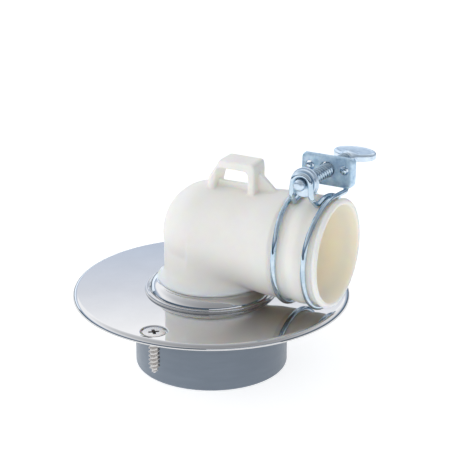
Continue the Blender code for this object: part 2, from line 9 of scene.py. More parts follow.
import bmesh
import bpy
import numpy as np
from mathutils import Euler, Matrix, Vector
from mathutils.geometry import delaunay_2d_cdt


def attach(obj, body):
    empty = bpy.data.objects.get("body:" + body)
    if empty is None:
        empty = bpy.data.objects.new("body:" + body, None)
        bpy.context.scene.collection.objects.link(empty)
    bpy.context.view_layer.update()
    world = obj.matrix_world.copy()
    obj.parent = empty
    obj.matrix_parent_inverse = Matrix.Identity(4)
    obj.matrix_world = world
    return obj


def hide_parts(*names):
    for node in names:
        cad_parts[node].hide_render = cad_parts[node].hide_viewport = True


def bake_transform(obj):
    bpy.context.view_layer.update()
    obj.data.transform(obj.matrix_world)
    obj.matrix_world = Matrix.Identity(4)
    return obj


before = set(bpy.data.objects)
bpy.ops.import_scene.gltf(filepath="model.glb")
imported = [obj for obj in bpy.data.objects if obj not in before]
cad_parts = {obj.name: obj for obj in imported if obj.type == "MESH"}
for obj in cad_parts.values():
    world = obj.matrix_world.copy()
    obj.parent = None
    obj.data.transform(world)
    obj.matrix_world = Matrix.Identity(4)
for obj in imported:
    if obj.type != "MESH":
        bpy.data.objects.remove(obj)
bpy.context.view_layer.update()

MM = 0.001

# The CAD's driving sizes, which the pieces share
PLATE_RADIUS = 0.060
PLATE_TOP = 0.0337
PLATE_SHEET = 0.0008
RIM_HEIGHT = 0.0022
PLATE_HOLE_RADIUS = 0.0235
GASKET_TOP = PLATE_TOP - PLATE_SHEET - 0.0003
GASKET_THICKNESS = 0.0015
ADAPTER_TOP = 0.0308
ADAPTER_RADIUS = 0.03305
ADAPTER_SOCKET_RADIUS = 0.0301
ADAPTER_NECK_RADIUS = 0.0252
SCREW_OFFSET = 0.0512
SCREW_SHIFT = 0.0010
COUNTERSINK_RADIUS = 0.0055
COUNTERSINK_DEPTH = 0.0021
AXIS_Z = 0.0604
OUTLET_LENGTH = 0.0596
CLAMP_X = 0.0476
CLAMP_TILT = math.radians(-2.3)
FEED_YAW = math.radians(1.0)
FEED_HEIGHT = 0.0314
WIRE_RADIUS = 0.00115
WIRE_LOOP_RADIUS = 0.0220 + 0.00015 + WIRE_RADIUS
BOSS_RADIUS = 0.0025
DISC_FRONT = 0.0114

CLAMP_FRAME = Matrix.Translation((CLAMP_X, 0, AXIS_Z)) @ Matrix.Rotation(CLAMP_TILT, 4, "X")
FEED_FRAME = (
    CLAMP_FRAME
    @ Matrix.Translation((0, 0, FEED_HEIGHT))
    @ Euler((math.pi / 2, 0, -FEED_YAW)).to_matrix().to_4x4()
)


# ------------------------------------------------------------------ mesh helpers


def linked(name, data):
    made = bpy.data.objects.new(name, data)
    bpy.context.scene.collection.objects.link(made)
    return made


def add_mesh(name, points, faces, material, body, replaced):
    """A smooth-shaded piece that rides a body and stands for a CAD node."""
    mesh = bpy.data.meshes.new(name)
    mesh.from_pydata([tuple(p) for p in points], [], faces)
    mesh.validate()
    shape = bmesh.new()
    shape.from_mesh(mesh)
    bmesh.ops.remove_doubles(shape, verts=shape.verts, dist=1e-7)
    bmesh.ops.recalc_face_normals(shape, faces=shape.faces)
    shape.to_mesh(mesh)
    shape.free()
    mesh.polygons.foreach_set("use_smooth", [True] * len(mesh.polygons))
    mesh.materials.append(material)
    piece = linked(name, mesh)
    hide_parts(replaced)
    if body:
        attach(piece, body)
    return piece


def rounded(corners, steps=6, closed=True):
    """Outline through (r, z, rounding) corners, with arcs at the rounded ones. Each arc has a
    point close beside both of its ends, which keeps the flats between arcs flat when smoothed."""
    outline = []
    beside = 0.03 * MM
    count = len(corners)
    for i, (r, z, rounding) in enumerate(corners):
        here = Vector((r, z))
        if rounding <= 0 or (not closed and i in (0, count - 1)):
            outline.append(here)
            continue
        back = Vector(corners[i - 1][:2]) - here
        onward = Vector(corners[(i + 1) % count][:2]) - here
        half = back.angle(onward) / 2
        back.normalize()
        onward.normalize()
        reach = rounding / math.tan(half)
        centre = here + (back + onward).normalized() * (rounding / math.sin(half))
        start = here + back * reach - centre
        end = here + onward * reach - centre
        sweep = start.angle_signed(end)
        outline.append(here + back * (reach + beside))
        for step in range(steps + 1):
            turn = Matrix.Rotation(-sweep * step / steps, 2)
            outline.append(centre + turn @ start)
        outline.append(here + onward * (reach + beside))
    return outline


def turned(outline, segments, closed=True, centre=(0.0, 0.0), matrix=None):
    """Points and faces of an outline of (r, z) turned about the Z axis at a centre."""
    points = []
    rings = []
    for r, z in outline:
        if abs(r) < 1e-9:
            rings.append([len(points)] * segments)
            points.append(Vector((*centre, z)))
            continue
        rings.append(range(len(points), len(points) + segments))
        for k in range(segments):
            turn = 2 * math.pi * k / segments
            x = centre[0] + r * math.cos(turn)
            y = centre[1] + r * math.sin(turn)
            points.append(Vector((x, y, z)))
    pairs = list(zip(rings, rings[1:]))
    if closed:
        pairs.append((rings[-1], rings[0]))
    faces = []
    for low, high in pairs:
        for k in range(segments):
            after = (k + 1) % segments
            face = dict.fromkeys((low[k], low[after], high[after], high[k]))
            if len(face) > 2:
                faces.append(tuple(face))
    if matrix is not None:
        points = [matrix @ p for p in points]
    return points, faces


def smooth_min(a, b, size):
    blend = np.clip(0.5 + 0.5 * (b - a) / size, 0, 1)
    return b * (1 - blend) + a * blend - size * blend * (1 - blend)


def smooth_max(a, b, size):
    return -smooth_min(-a, -b, size)


def ellipse_distance(offsets, radii):
    """Close to the distance to an ellipse or ellipsoid, from the offsets along its axes."""
    near = np.sqrt(sum((offset / radius) ** 2 for offset, radius in zip(offsets, radii)))
    far = np.sqrt(sum((offset / radius**2) ** 2 for offset, radius in zip(offsets, radii)))
    return near * (near - 1) / np.maximum(far, 1e-6)


def box_distance(du, dv):
    """Distance to a box in a plane, from the distances past two of its sides."""
    return np.minimum(np.maximum(du, dv), 0) + np.hypot(np.maximum(du, 0), np.maximum(dv, 0))


def inside_polygon(outline, u, v):
    """Signed distance to a closed polygon in a plane, negative inside."""
    nearest = np.full(u.shape, 1e9)
    sign = np.ones(u.shape)
    before = outline[-1]
    for here in outline:
        edge = (before[0] - here[0], before[1] - here[1])
        from_u = u - here[0]
        from_v = v - here[1]
        along = (from_u * edge[0] + from_v * edge[1]) / (edge[0] ** 2 + edge[1] ** 2)
        along = np.clip(along, 0, 1)
        gap = (from_u - edge[0] * along) ** 2 + (from_v - edge[1] * along) ** 2
        nearest = np.minimum(nearest, gap)
        above = v >= here[1]
        below = v < before[1]
        left = edge[0] * from_v > edge[1] * from_u
        crossing = (above & below & left) | (~above & ~below & ~left)
        sign = np.where(crossing, -sign, sign)
        before = here
    return sign * np.sqrt(nearest)


def surface_of(field, low, high, step):
    """Quad mesh of the surface where a distance field is zero: one point in each grid cell that
    the surface crosses, then moved onto the surface and evened out along it."""
    axes = [np.arange(low[i], high[i] + step, step) for i in range(3)]
    grid = np.meshgrid(*axes, indexing="ij")
    inside = field(*grid) < 0
    del grid
    count = np.zeros([n - 1 for n in inside.shape], np.int8)
    for i in (0, 1):
        for j in (0, 1):
            for k in (0, 1):
                sx, sy, sz = (slice(o, n - 1 + o) for o, n in zip((i, j, k), inside.shape))
                count += inside[sx, sy, sz]
    mixed = (count > 0) & (count < 8)
    cells = np.argwhere(mixed)
    index = np.full(mixed.shape, -1)
    index[mixed] = np.arange(len(cells))
    points = np.array([axes[i][0] for i in range(3)]) + (cells + 0.5) * step

    quads = []
    for a in range(3):
        b = (a + 1) % 3
        c = (a + 2) % 3
        ahead = [slice(None)] * 3
        behind = [slice(None)] * 3
        ahead[a] = slice(1, None)
        behind[a] = slice(None, -1)
        here = inside[tuple(behind)]
        edges = np.argwhere(here != inside[tuple(ahead)])
        outward = here[tuple(edges.T)]
        corner = []
        for shift_b, shift_c in ((1, 1), (0, 1), (0, 0), (1, 0)):
            cell = edges.copy()
            cell[:, b] -= shift_b
            cell[:, c] -= shift_c
            corner.append(index[tuple(cell.T)])
        quad = np.stack(corner, 1)
        quad[~outward] = quad[~outward][:, ::-1]
        quads.append(quad)
    quads = np.concatenate(quads)

    ends = np.concatenate([quads[:, [i, (i + 1) % 4]] for i in range(4)])
    degree = np.bincount(ends[:, 0], minlength=len(points))[:, None]
    for settle in range(4):
        if settle:
            total = np.zeros_like(points)
            for i in range(3):
                total[:, i] = np.bincount(ends[:, 0], points[ends[:, 1], i], len(points))
            points = points * 0.5 + 0.5 * total / degree
        for _ in range(3):
            points = onto_surface(field, points, 0.6 * step)
    return points, quads.tolist()


def onto_surface(field, points, limit):
    """The points, each moved one Newton step towards where the field is zero."""
    reach = 5e-6
    value = field(*points.T)
    slope = np.empty_like(points)
    for i in range(3):
        shifted = points.copy()
        shifted[:, i] += reach
        slope[:, i] = (field(*shifted.T) - value) / reach
    length = np.maximum(np.linalg.norm(slope, axis=1), 0.2)
    move = np.clip(value / length, -limit, limit) / length
    return points - slope * move[:, None]


def placed(points, matrix):
    turn = np.array(matrix.to_3x3())
    return points @ turn.T + np.array(matrix.translation)


# ------------------------------------------------------------------ materials


def new_material(name):
    material = bpy.data.materials.new(name)
    material.use_nodes = True
    tree = material.node_tree
    shader = tree.nodes["Principled BSDF"]
    return material, tree, shader


def node(tree, kind, **values):
    """A new node, with values given to its inputs, or else to its settings."""
    made = tree.nodes.new(kind)
    for key, value in values.items():
        if key in made.inputs:
            made.inputs[key].default_value = value
        else:
            setattr(made, key, value)
    return made


def noise(tree, scale, detail=3.0, rough=0.5, stretch=(1, 1, 1)):
    """Noise over the object's own coordinates, in cells per metre."""
    place = node(tree, "ShaderNodeTexCoord")
    mapping = node(tree, "ShaderNodeMapping")
    mapping.inputs["Scale"].default_value = stretch
    tree.links.new(place.outputs["Object"], mapping.inputs["Vector"])
    made = node(tree, "ShaderNodeTexNoise", Scale=scale, Detail=detail, Roughness=rough)
    tree.links.new(mapping.outputs["Vector"], made.inputs["Vector"])
    return made.outputs["Fac"]


def ramp(tree, factor, *stops):
    made = node(tree, "ShaderNodeValToRGB")
    elements = made.color_ramp.elements
    while len(elements) < len(stops):
        elements.new(0.5)
    for element, (position, colour) in zip(elements, stops):
        element.position = position
        element.color = (*colour, 1)
    tree.links.new(factor, made.inputs["Fac"])
    return made.outputs["Color"]


def map_range(tree, value, source, target):
    made = node(tree, "ShaderNodeMapRange")
    sockets = ("From Min", "From Max", "To Min", "To Max")
    for socket, number in zip(sockets, (*source, *target)):
        made.inputs[socket].default_value = number
    tree.links.new(value, made.inputs["Value"])
    return made.outputs["Result"]


def spread(tree, factor, low, high):
    """Most of a noise's range, stretched from low to high."""
    return map_range(tree, factor, (0.3, 0.7), (low, high))


def bumped(tree, shader, height, distance, under=None):
    """Relief of a height in metres, laid over the relief under it."""
    made = node(tree, "ShaderNodeBump", Strength=1.0, Distance=distance)
    tree.links.new(height, made.inputs["Height"])
    if under is not None:
        tree.links.new(under, made.inputs["Normal"])
    tree.links.new(made.outputs["Normal"], shader.inputs["Normal"])
    return made.outputs["Normal"]


def make_soft_pvc(name, dark, light, glow=0.0):
    """Soft cream PVC: slightly translucent, faintly mottled, with a fine eggshell texture."""
    material, tree, shader = new_material(name)
    # An optional painted glow: emission that stands in for light shining through the soft walls,
    # not a lamp.
    shader.inputs["Emission Color"].default_value = (1.0, 0.93, 0.80, 1.0)
    shader.inputs["Emission Strength"].default_value = glow
    mottle = noise(tree, 90, 4, 0.6)
    colour = ramp(tree, mottle, (0.30, dark), (0.70, light))
    tree.links.new(colour, shader.inputs["Base Color"])
    tree.links.new(spread(tree, noise(tree, 400, 2), 0.38, 0.50), shader.inputs["Roughness"])
    shader.inputs["Subsurface Weight"].default_value = 0.8
    shader.inputs["Subsurface Radius"].default_value = (1.0, 0.72, 0.42)
    shader.inputs["Subsurface Scale"].default_value = 0.004
    shader.inputs["IOR"].default_value = 1.46
    waves = bumped(tree, shader, noise(tree, 160, 2), 0.00006)
    bumped(tree, shader, noise(tree, 2600, 2), 0.000010, under=waves)
    return material


def make_grey_pvc():
    """Hard grey pipe PVC: satin, with faint rings from the mould."""
    material, tree, shader = new_material("hard_pvc_grey")
    streaks = noise(tree, 55, 3, 0.6, (1, 1, 6))
    colour = ramp(tree, streaks, (0.30, (0.170, 0.205, 0.250)), (0.70, (0.190, 0.228, 0.276)))
    tree.links.new(colour, shader.inputs["Base Color"])
    tree.links.new(spread(tree, noise(tree, 500, 3), 0.30, 0.42), shader.inputs["Roughness"])
    shader.inputs["IOR"].default_value = 1.50
    rings = bumped(tree, shader, noise(tree, 60, 2, 0.5, (1, 1, 30)), 0.00001)
    bumped(tree, shader, noise(tree, 1800, 2), 0.000012, under=rings)
    return material


def make_metal(name, dark, light, rough, wave=0.0, grain=0.0, mottle=60):
    """Bare or plated metal: its colour and gloss vary a little, with fine handling marks."""
    material, tree, shader = new_material(name)
    shader.inputs["Metallic"].default_value = 1.0
    colour = ramp(tree, noise(tree, mottle, 4, 0.6), (0.32, dark), (0.68, light))
    tree.links.new(colour, shader.inputs["Base Color"])
    marks = noise(tree, 350, 5, 0.65)
    tree.links.new(spread(tree, marks, *rough), shader.inputs["Roughness"])
    under = None
    if wave:
        under = bumped(tree, shader, noise(tree, 120, 2), wave)
    if grain:
        bumped(tree, shader, noise(tree, 1500, 3), grain, under=under)
    return material


def make_rubber():
    material, tree, shader = new_material("black_rubber")
    dust = noise(tree, 300, 4, 0.6)
    colour = ramp(tree, dust, (0.3, (0.018, 0.018, 0.019)), (0.7, (0.038, 0.038, 0.040)))
    tree.links.new(colour, shader.inputs["Base Color"])
    tree.links.new(spread(tree, dust, 0.55, 0.75), shader.inputs["Roughness"])
    bumped(tree, shader, noise(tree, 2000, 3), 0.00002)
    return material


SOFT_PVC = make_soft_pvc("soft_pvc_cream", (0.860, 0.842, 0.800), (0.890, 0.876, 0.842))
# Painted light: a lighter, warmer cream with a faint glow, standing in for light shining through
# the walls and bouncing inside the bore.
BORE_PVC_PAINTED_GLOW = make_soft_pvc("soft_pvc_bore_painted_glow", (0.970, 0.876, 0.762), (0.980, 0.896, 0.792), 0.040)
GREY_PVC = make_grey_pvc()
MIRROR_STEEL = make_metal("mirror_steel", (0.61, 0.61, 0.61), (0.64, 0.64, 0.64), (0.02, 0.05))
SCREW_STEEL = make_metal(
    "screw_steel", (0.52, 0.50, 0.48), (0.68, 0.66, 0.64), (0.18, 0.32), grain=4e-6
)
# Painted shade: a dark metal for the faces inside the cross recesses, standing in for their shadow.
RECESS_PAINTED_SHADE = make_metal(
    "recess_painted_shade", (0.10, 0.10, 0.10), (0.18, 0.17, 0.16), (0.40, 0.55), wave=5e-6
)
ZINC_THREAD = make_metal(
    "zinc_thread", (0.30, 0.42, 0.53), (0.50, 0.60, 0.68), (0.12, 0.24), 5e-6, 3e-6, mottle=320
)
ZINC_WIRE = make_metal(
    "zinc_wire", (0.44, 0.57, 0.68), (0.62, 0.71, 0.78), (0.03, 0.09), 5e-6, 2e-6, mottle=260
)
ZINC_SHEET = make_metal(
    "zinc_sheet", (0.44, 0.62, 0.78), (0.72, 0.87, 0.98), (0.44, 0.60), 2.5e-5, 1e-5, mottle=420
)
ZINC_CAST = make_metal(
    "zinc_cast", (0.58, 0.70, 0.82), (0.74, 0.84, 0.92), (0.28, 0.42), 1.2e-5, 8e-6, mottle=320
)
RUBBER = make_rubber()


# ------------------------------------------------------------------ floor plate


def screw_place(side):
    """Where a floor screw stands on the plate: -1 is the front one and 1 the back one."""
    return -side * SCREW_SHIFT, side * SCREW_OFFSET


def make_floor_plate():
    """A sheet plate with a rolled rim, a round hole and two pressed countersinks."""
    segments = 240
    sink_segments = 72
    bend = PLATE_RADIUS - RIM_HEIGHT
    flat_radius = bend - 0.0006
    top = PLATE_TOP
    under = PLATE_TOP - PLATE_SHEET
    hole_flat = PLATE_HOLE_RADIUS + 0.0008
    sink_flat = COUNTERSINK_RADIUS + 0.0012
    points = []
    faces = []

    def add(more_points, more_faces):
        base = len(points)
        points.extend(more_points)
        faces.extend(tuple(base + i for i in face) for face in more_faces)

    rim = [Vector((flat_radius, top)), Vector((bend - 0.0002, top))]
    rim_steps = 16
    for i in range(rim_steps + 1):
        turn = math.radians(90 - 90 * i / rim_steps)
        drop = RIM_HEIGHT * (1 - math.sin(turn))
        rim.append(Vector((bend + RIM_HEIGHT * math.cos(turn), top - drop)))
    inner = RIM_HEIGHT - PLATE_SHEET
    for i in range(rim_steps + 1):
        turn = math.radians(90 * i / rim_steps)
        height = top - RIM_HEIGHT + inner * math.sin(turn)
        rim.append(Vector((bend + inner * math.cos(turn), height)))
    rim += [Vector((bend - 0.0002, under)), Vector((flat_radius, under))]
    add(*turned(rim, segments, closed=False))

    edge = [
        (hole_flat, top, 0),
        (PLATE_HOLE_RADIUS, top, 0.0002),
        (PLATE_HOLE_RADIUS, under, 0.0002),
        (hole_flat, under, 0),
    ]
    add(*turned(rounded(edge, 4, closed=False), segments, closed=False))

    foot = COUNTERSINK_RADIUS - COUNTERSINK_DEPTH
    sink_wall = PLATE_SHEET * 1.25
    sink = [
        (sink_flat, top, 0),
        (COUNTERSINK_RADIUS + 0.0002, top, 0.0004),
        (COUNTERSINK_RADIUS - 0.0002, top - 0.0009, 0.0002),
        (foot, top - COUNTERSINK_DEPTH, 0.0001),
        (foot + sink_wall * 0.6, top - COUNTERSINK_DEPTH, 0.0001),
        (COUNTERSINK_RADIUS + 0.0004, under, 0.0003),
        (sink_flat, under, 0),
    ]
    sink = rounded(sink, 5, closed=False)

    sink_places = [screw_place(side) for side in (-1, 1)]
    circles = [(flat_radius, 0.0, 0.0, segments), (hole_flat, 0.0, 0.0, segments)]
    for x, y in sink_places:
        add(*turned(sink, sink_segments, closed=False, centre=(x, y)))
        circles.append((sink_flat, x, y, sink_segments))
    outline = []
    loops = []
    for radius, x, y, count in circles:
        loops.append(list(range(len(outline), len(outline) + count)))
        for k in range(count):
            turn = 2 * math.pi * k / count
            outline.append(Vector((x + radius * math.cos(turn), y + radius * math.sin(turn))))
    edges = [(loop[i], loop[(i + 1) % len(loop)]) for loop in loops for i in range(len(loop))]
    flat, _, triangles, *_ = delaunay_2d_cdt(outline, edges, [], 0, 1e-7)
    kept = []
    for triangle in triangles:
        middle = sum((flat[i] for i in triangle), Vector((0, 0))) / 3
        off_sinks = all((middle - Vector(place)).length > sink_flat for place in sink_places)
        if off_sinks and hole_flat < middle.length < flat_radius:
            kept.append(triangle)
    add([(p.x, p.y, top) for p in flat], kept)
    add([(p.x, p.y, under) for p in flat], [tuple(reversed(t)) for t in kept])
    add_mesh(
        "floor_plate_sheet", points, faces, MIRROR_STEEL, "floor_unit", "floor_plate"
    )


def make_plate_gasket():
    inner = PLATE_HOLE_RADIUS
    outer = ADAPTER_RADIUS - 0.0020
    low = GASKET_TOP - GASKET_THICKNESS
    section = ((inner, low), (outer, low), (outer, GASKET_TOP), (inner, GASKET_TOP))
    corners = [(r, z, 0.0003) for r, z in section]
    points, faces = turned(rounded(corners, 4), 128)
    add_mesh("gasket_ring", points, faces, RUBBER, "floor_unit", "plate_gasket")


def make_collar():
    """The screw-in collar: a domed slope, a groove and a bead above a threaded skirt."""
    base = PLATE_TOP + 0.00005
    lip = PLATE_TOP + 0.0049
    bottom = PLATE_TOP - 0.0200
    skirt = 0.0229
    bore = 0.0205
    outline = [Vector((bore, lip - 0.0020)), Vector((bore, lip - 0.0003))]
    outline += [Vector((bore + 0.0003, lip)), Vector((0.0226, lip)), Vector((0.0229, lip - 0.0001))]
    slope_start = Vector((0.0231, lip - 0.0004))
    slope_end = Vector((0.0268, PLATE_TOP + 0.0020))
    slope_steps = 12
    for i in range(slope_steps + 1):
        point = slope_start.lerp(slope_end, i / slope_steps)
        bow = 0.0005 * math.sin(math.pi * i / slope_steps)
        outline.append(point + Vector((0.6, 0.8)) * bow)
    edge = [
        (0.02685, PLATE_TOP + 0.0019, 0),
        (0.02708, PLATE_TOP + 0.0010, 0.0001),
        (0.02745, PLATE_TOP + 0.0008, 0.0001),
        (0.02765, PLATE_TOP + 0.0013, 0.0002),
        (0.02850, PLATE_TOP + 0.0013, 0.0003),
        (0.02880, base, 0),
    ]
    outline += [Vector(p) for p in rounded(edge, 6, closed=False)]
    outline += [Vector((skirt + 0.0001, base)), Vector((skirt, base - 0.0002))]
    pitch = 0.0015
    root = skirt - 0.0005
    turns = int((base - bottom - 0.0016) / pitch)
    for i in range(turns):
        z = base - 0.0006 - pitch * i
        outline += [Vector((skirt, z)), Vector((root, z - pitch * 0.35))]
        outline += [Vector((root, z - pitch * 0.55)), Vector((skirt, z - pitch * 0.90))]
    outline += [Vector((skirt - 0.0008, bottom)), Vector((bore + 0.0003, bottom))]
    outline.append(Vector((bore, bottom + 0.0003)))
    points, faces = turned(outline, 224)
    add_mesh(
        "collar_turned", points, faces, MIRROR_STEEL, "floor_unit", "collar_ring"
    )


def make_pipe_adapter():
    """The grey socket under the plate, with a stop for the pipe and a narrower neck."""
    top = ADAPTER_TOP
    wall = top - 0.0040
    neck_foot = top - 0.0190
    thread = 0.0232
    corners = [
        (thread, top, 0.0003),
        (ADAPTER_RADIUS, top, 0.0008),
        (ADAPTER_RADIUS, 0.0, 0.0010),
        (ADAPTER_SOCKET_RADIUS + 0.0003, 0.0, 0.0008),
        (ADAPTER_SOCKET_RADIUS - 0.0001, wall, 0.0006),
        (ADAPTER_NECK_RADIUS, wall, 0.0008),
        (ADAPTER_NECK_RADIUS, neck_foot, 0.0004),
        (thread, neck_foot, 0.0004),
    ]
    points, faces = turned(rounded(corners, 6), 192)
    add_mesh("adapter_socket", points, faces, GREY_PVC, "floor_unit", "pipe_adapter")


# ------------------------------------------------------------------ floor screws


def screw_field(x, y, z):
    """A countersunk tapping screw with its head's top at z = 0."""
    head = 4.80 * MM
    root = 1.55 * MM
    crest = 2.40 * MM
    pitch = 1.8 * MM
    tip = -18.6 * MM
    r = np.hypot(x, y)
    turn = np.arctan2(y, x) / (2 * math.pi)
    cone = np.maximum((r - head - 0.25 * MM - z) * 0.7071, r - head)
    dome = z + 0.03 * MM + (r / head) ** 4 * 0.10 * MM
    body = smooth_max(np.maximum(cone, dome), -z - 4.0 * MM, 0.2 * MM)
    taper = np.clip((z - tip) / (3.4 * MM), 0.0, 1.0)
    fade = np.clip((-3.4 * MM - z) / (1.2 * MM), 0.0, 1.0)
    phase = np.mod(z / pitch - turn, 1.0)
    tooth = np.clip(1 - np.abs(phase - 0.5) * 3.4, 0, 1)
    shaft_radius = (root + (crest - root) * tooth * fade) * np.sqrt(taper) + 0.05 * MM
    shaft = np.maximum((r - shaft_radius) * 0.75, np.maximum(tip - z, z + 1.0 * MM))
    solid = smooth_min(body, shaft, 0.3 * MM)
    deep = 2.3 * MM
    reach = np.clip(1 + (z / deep) * 0.65, 0.1, 1.2)
    arm = 2.35 * MM * reach
    width = 0.62 * MM * (0.45 + 0.55 * reach)
    cross_turn = 0.35
    turned_x = x * math.cos(cross_turn) + y * math.sin(cross_turn)
    turned_y = y * math.cos(cross_turn) - x * math.sin(cross_turn)
    across = np.maximum(np.abs(turned_x) - arm, np.abs(turned_y) - width)
    along = np.maximum(np.abs(turned_y) - arm, np.abs(turned_x) - width)
    cross = smooth_min(across, along, 0.35 * MM)
    recess = np.maximum(cross * 0.9, -deep - z)
    return smooth_max(solid, -recess, 0.12 * MM)


def make_floor_screws():
    """The two floor screws, with painted shade inside their cross recesses: a dark metal stands in
    for the shadow there.
    """
    step = 0.15 * MM
    half = 5.2 * MM
    recess_reach = 2.9 * MM
    recess_floor = -2.6 * MM
    recess_mouth = -0.42 * MM
    low = (-half, -half, -19.2 * MM)
    high = (half, half, 0.6 * MM)
    points, faces = surface_of(screw_field, low, high, step)
    for name, side in (("front", -1), ("back", 1)):
        spin = Matrix.Rotation(math.radians(20 if side < 0 else 65), 4, "Z")
        place = Matrix.Translation((*screw_place(side), PLATE_TOP - 0.00018)) @ spin
        screw = placed(points, place)
        piece = add_mesh(
            f"tapping_screw_{name}",
            screw,
            faces,
            SCREW_STEEL,
            "floor_unit",
            f"floor_screw_{name}",
        )
        # The faces deep in each cross recess get the painted shade.
        piece.data.materials.append(RECESS_PAINTED_SHADE)
        centre = Vector((*screw_place(side), PLATE_TOP))
        for face in piece.data.polygons:
            offset = face.center - centre
            if offset.xy.length < recess_reach and recess_floor < offset.z < recess_mouth:
                face.material_index = 1


# ------------------------------------------------------------------ elbow

RISER_RADIUS = 20.2 * MM
OUTLET_ROOT_RADIUS = 21.3 * MM
WIRE_SEAT_RADIUS = 22.05 * MM
BORE_RADIUS = 20.5 * MM
THROAT_RADIUS = 17.2 * MM
DUCT_RADIUS = 16.3 * MM

# Side views of the handle, its window and its gusset, in millimetres along X and up from the axis
HANDLE_OUTLINE = [(0.9, 17.0), (0.9, 22.2), (1.3, 25.8), (5.3, 31.9), (6.0, 33.3), (7.0, 34.2)]
HANDLE_OUTLINE += [(21.2, 34.2), (22.3, 33.8), (22.8, 32.9), (23.0, 30.0), (23.0, 17.0)]
WINDOW_OUTLINE = [(4.0, 17.0), (3.8, 21.7), (3.9, 23.4), (5.6, 29.6), (6.0, 30.2), (6.6, 30.4)]
WINDOW_OUTLINE += [(18.0, 30.4), (18.9, 30.1), (19.5, 29.3), (19.7, 28.5), (19.7, 17.0)]
GUSSET_OUTLINE = [(2.0, 17.0), (2.0, 23.6), (22.6, 24.0), (22.6, 29.2), (24.0, 29.2)]
GUSSET_OUTLINE += [(30.0, 23.6), (31.8, 21.5), (31.8, 17.0)]


def ease(value):
    value = np.clip(value, 0.0, 1.0)
    return value * value * (3 - 2 * value)


def outlet_radius(x):
    """Outer radius of the outlet: it swells to a cuff, with a soft seat for the clamp's wire."""
    radius = OUTLET_ROOT_RADIUS + 1.2 * MM * ease((x - 20 * MM) / (12 * MM))
    radius = radius + 0.7 * MM * np.clip((x - 32 * MM) / (27.6 * MM), 0, 1)
    from_middle = np.abs(x - CLAMP_X)
    seat = ease((from_middle - 0.8 * MM) / (4.0 * MM))
    seat = seat * (1 - ease((from_middle - 9.0 * MM) / (1.6 * MM)))
    return radius - (radius - WIRE_SEAT_RADIUS) * seat


def riser_field(r, h):
    """The riser, its flared foot and the spigot with its seal groove, by height above the plate."""
    lift = np.clip((h - 6.2 * MM) / (5.5 * MM), 0, 1)
    radius = RISER_RADIUS + 2.9 * MM * (1 - np.sqrt(1 - (1 - lift) ** 2))
    foot = smooth_max((r - radius) * 0.8, 5.0 * MM - h, 0.3 * MM)
    foot = np.maximum(foot, h - 26.7 * MM)
    spigot = smooth_max(r - 19.6 * MM, -17.0 * MM - h, 0.8 * MM)
    spigot = np.maximum(spigot, h - 8 * MM)
    groove = np.maximum(18.1 * MM - r, np.abs(h + 9 * MM) - 1.2 * MM)
    return smooth_max(np.minimum(foot, spigot), -groove, 0.2 * MM)


def handle_field(x, y, z):
    outer = inside_polygon(HANDLE_OUTLINE, x / MM, z / MM) * MM
    window = inside_polygon(WINDOW_OUTLINE, x / MM, z / MM) * MM
    loop = smooth_max(smooth_max(outer, -window, 0.4 * MM), np.abs(y) - 5.4 * MM, 1.1 * MM)
    gusset = inside_polygon(GUSSET_OUTLINE, x / MM, z / MM) * MM
    gusset = smooth_max(gusset, np.abs(y) - 1.1 * MM, 0.5 * MM)
    return smooth_min(loop, gusset, 0.5 * MM)


def elbow_field(x, y, z):
    """Distance field of the elbow, with z from the outlet's axis."""
    h = z + AXIS_Z - PLATE_TOP
    r = np.hypot(x, y)
    across = np.hypot(y, z)
    riser = riser_field(r, h)
    corner = ellipse_distance((x, y, z), (RISER_RADIUS, OUTLET_ROOT_RADIUS, 21.6 * MM))
    outlet = smooth_max((across - outlet_radius(x)) * 0.9, x - OUTLET_LENGTH, 1.9 * MM)
    outlet = np.maximum(outlet, -x)
    solid = smooth_min(smooth_min(riser, outlet, 2.4 * MM), corner, 0.3 * MM)
    high = (z > 15 * MM) & (np.abs(y) < 9 * MM) & (x > -4 * MM) & (x < 37 * MM)
    if high.any():
        loop = handle_field(x[high], y[high], z[high])
        solid[high] = smooth_min(solid[high], loop, 0.9 * MM)
    bore = np.maximum(across - BORE_RADIUS, 29.6 * MM - x)
    throat = np.maximum(across - THROAT_RADIUS, x - 31 * MM)
    throat = np.where(x < 0, np.sqrt(x * x + across * across) - THROAT_RADIUS, throat)
    bore = smooth_min(bore, throat, 0.5 * MM)
    duct = np.maximum(r - DUCT_RADIUS, z)
    hollow = smooth_min(bore, duct, 1.2 * MM)
    return smooth_max(solid, -hollow, 1.3 * MM)


def make_elbow():
    """The elbow, with painted light on the faces of the bore and the ducts: a lighter, warmer cream
    and a faint glow stand in for light shining through the walls and bouncing inside.
    """
    step = 0.5 * MM
    low = (-24.5 * MM, -24.5 * MM, 13 * MM - AXIS_Z)
    high = (61.5 * MM, 24.5 * MM, 35.5 * MM)
    points, faces = surface_of(elbow_field, low, high, step)
    points = placed(points, Matrix.Translation((0, 0, AXIS_Z)))
    elbow = add_mesh("elbow_moulding", points, faces, SOFT_PVC, "elbow", "elbow")
    # Faces of the bore, the throat and the ducts get the painted glow and the lighter, warmer
    # colour.
    elbow.data.materials.append(BORE_PVC_PAINTED_GLOW)
    for face in elbow.data.polygons:
        x, y, z = face.center
        from_axis = math.hypot(y, z - AXIS_Z)
        in_throat = from_axis < THROAT_RADIUS + 0.4 * MM
        in_bore = from_axis < BORE_RADIUS + 0.4 * MM and x > 28 * MM
        in_outlet = x > 0 and (in_throat or in_bore)
        in_corner = x <= 0 and math.hypot(x, from_axis) < THROAT_RADIUS + 0.6 * MM
        in_riser = z < AXIS_Z and math.hypot(x, y) < DUCT_RADIUS + 0.3 * MM
        if in_outlet or in_corner or in_riser:
            face.material_index = 1


